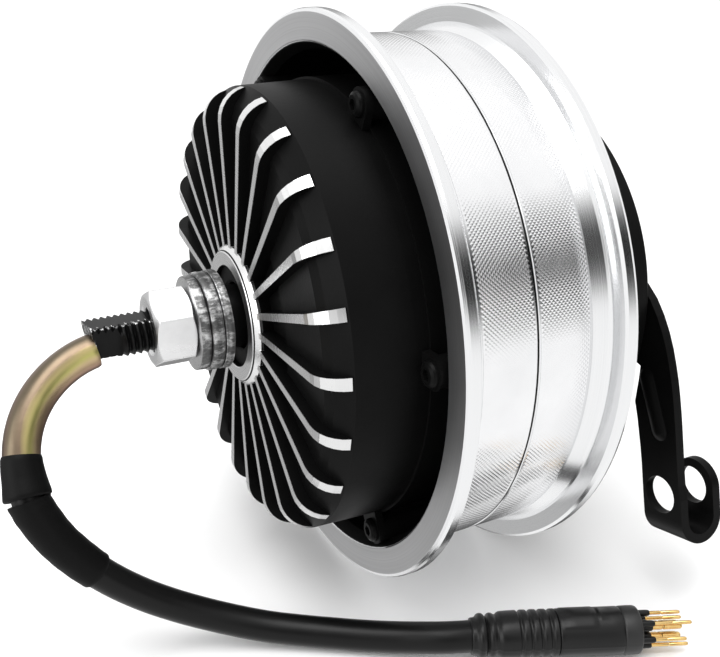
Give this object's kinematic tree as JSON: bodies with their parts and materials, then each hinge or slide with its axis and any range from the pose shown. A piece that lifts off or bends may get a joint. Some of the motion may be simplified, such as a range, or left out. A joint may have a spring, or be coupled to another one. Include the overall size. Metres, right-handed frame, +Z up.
{
  "type": "hub motor wheel",
  "caption": "Hub motor wheel: split tyre rim, finned motor cover, hollow threaded axle with cable and plug, and a drum brake with a clevis reaction arm.",
  "frame": {"origin": "the wheel's centre: on the axle's axis, in the middle of the rim's width", "axes": "+Z up, the axle lies along Y, the cable side faces -Y and the brake side +Y"},
  "size_m": [0.1986, 0.2241, 0.1824],
  "materials": {
    "axle_black": "black oxide, satin",
    "zinc": "bright zinc",
    "washer_steel": "stamped steel",
    "rim_aluminium": "machined, knurled",
    "black_coat": "satin black",
    "bolt_black": "black oxide",
    "cast_aluminium": "cast",
    "silicon_steel": "laminated",
    "copper": "enamelled copper",
    "board": "solder mask",
    "lead_insulation": "silicone",
    "bearing_steel": "ground",
    "magnet": "nickel plated",
    "black_rubber": "satin",
    "drum_iron": "turned",
    "shoe_metal": "cast",
    "lining": "friction lining",
    "spring_steel": "drawn",
    "passivated_steel": "yellow zinc",
    "black_plastic": "moulded",
    "grey_plastic": "moulded",
    "gold": "gold plated"
  },
  "bodies": {
    "axle_side": {"axle": "axle_black", "cable_side_nut": "zinc", "lock_washer": "zinc", "inner_washer": "washer_steel", "outer_washer": "washer_steel", "stator_hub": "cast_aluminium", "stator_core": "silicon_steel", "stator_windings": "copper", "hall_sensor_board": "board", "phase_leads": "lead_insulation", "left_bearing_inner_race": "bearing_steel", "right_bearing_inner_race": "bearing_steel", "brake_backing_plate": "black_coat", "brake_arm": "black_coat", "arm_rivets": "bolt_black", "anchor_pin": "bearing_steel", "anchor_nut": "bolt_black", "brake_side_washer": "washer_steel", "brake_side_nut": "zinc", "cable_tube": "passivated_steel", "tube_sleeve": "black_rubber", "cable_sleeve": "black_rubber", "cable": "black_rubber", "plug_strain_relief": "black_rubber", "plug_shell": "black_plastic", "plug_end_band": "grey_plastic", "plug_insert": "black_plastic", "phase_pins": "gold", "signal_pins": "gold"},
    "wheel": {"rim_left_half": "rim_aluminium", "rim_right_half": "rim_aluminium", "rim_bolts": "bolt_black", "back_iron_ring": "silicon_steel", "magnets": "magnet", "finned_cover": "black_coat", "cable_side_seal": "black_rubber", "left_bearing_outer_race": "bearing_steel", "left_bearing_balls": "bearing_steel", "brake_side_cover": "black_coat", "drum_liner": "drum_iron", "right_bearing_outer_race": "bearing_steel", "right_bearing_balls": "bearing_steel"},
    "upper_brake_shoe": {"upper_shoe": "shoe_metal", "upper_shoe_lining": "lining", "shoe_return_spring": "spring_steel"},
    "lower_brake_shoe": {"lower_shoe": "shoe_metal", "lower_shoe_lining": "lining"},
    "cam_and_lever": {"brake_cam": "bearing_steel", "brake_lever": "black_coat", "lever_nut": "zinc"}
  },
  "joints": [
    {"name": "wheel_spin", "type": "hinge", "parent": "axle_side", "child": "wheel", "pos_m": [0, 0, 0], "axis": [0, 1, 0], "continuous": true},
    {"name": "brake_cam_turn", "type": "hinge", "parent": "axle_side", "child": "cam_and_lever", "pos_m": [-0.042, 0.056, 0], "axis": [0, 1, 0], "range_deg": [0, 20], "stiffness_Nm_per_rad": 1, "springref_deg": -17.19},
    {"name": "upper_shoe_swing", "type": "hinge", "parent": "axle_side", "child": "upper_brake_shoe", "pos_m": [0.042, 0.0431, 0], "axis": [0, 1, 0], "range_deg": [0, 0.7]},
    {"name": "lower_shoe_swing", "type": "hinge", "parent": "axle_side", "child": "lower_brake_shoe", "pos_m": [0.042, 0.047, 0], "axis": [0, 1, 0], "range_deg": [-0.7, 0]}
  ],
  "couplings": [
    {"joint": "upper_shoe_swing", "follows": "brake_cam_turn", "ratio": 0.035},
    {"joint": "lower_shoe_swing", "follows": "brake_cam_turn", "ratio": -0.035}
  ]
}
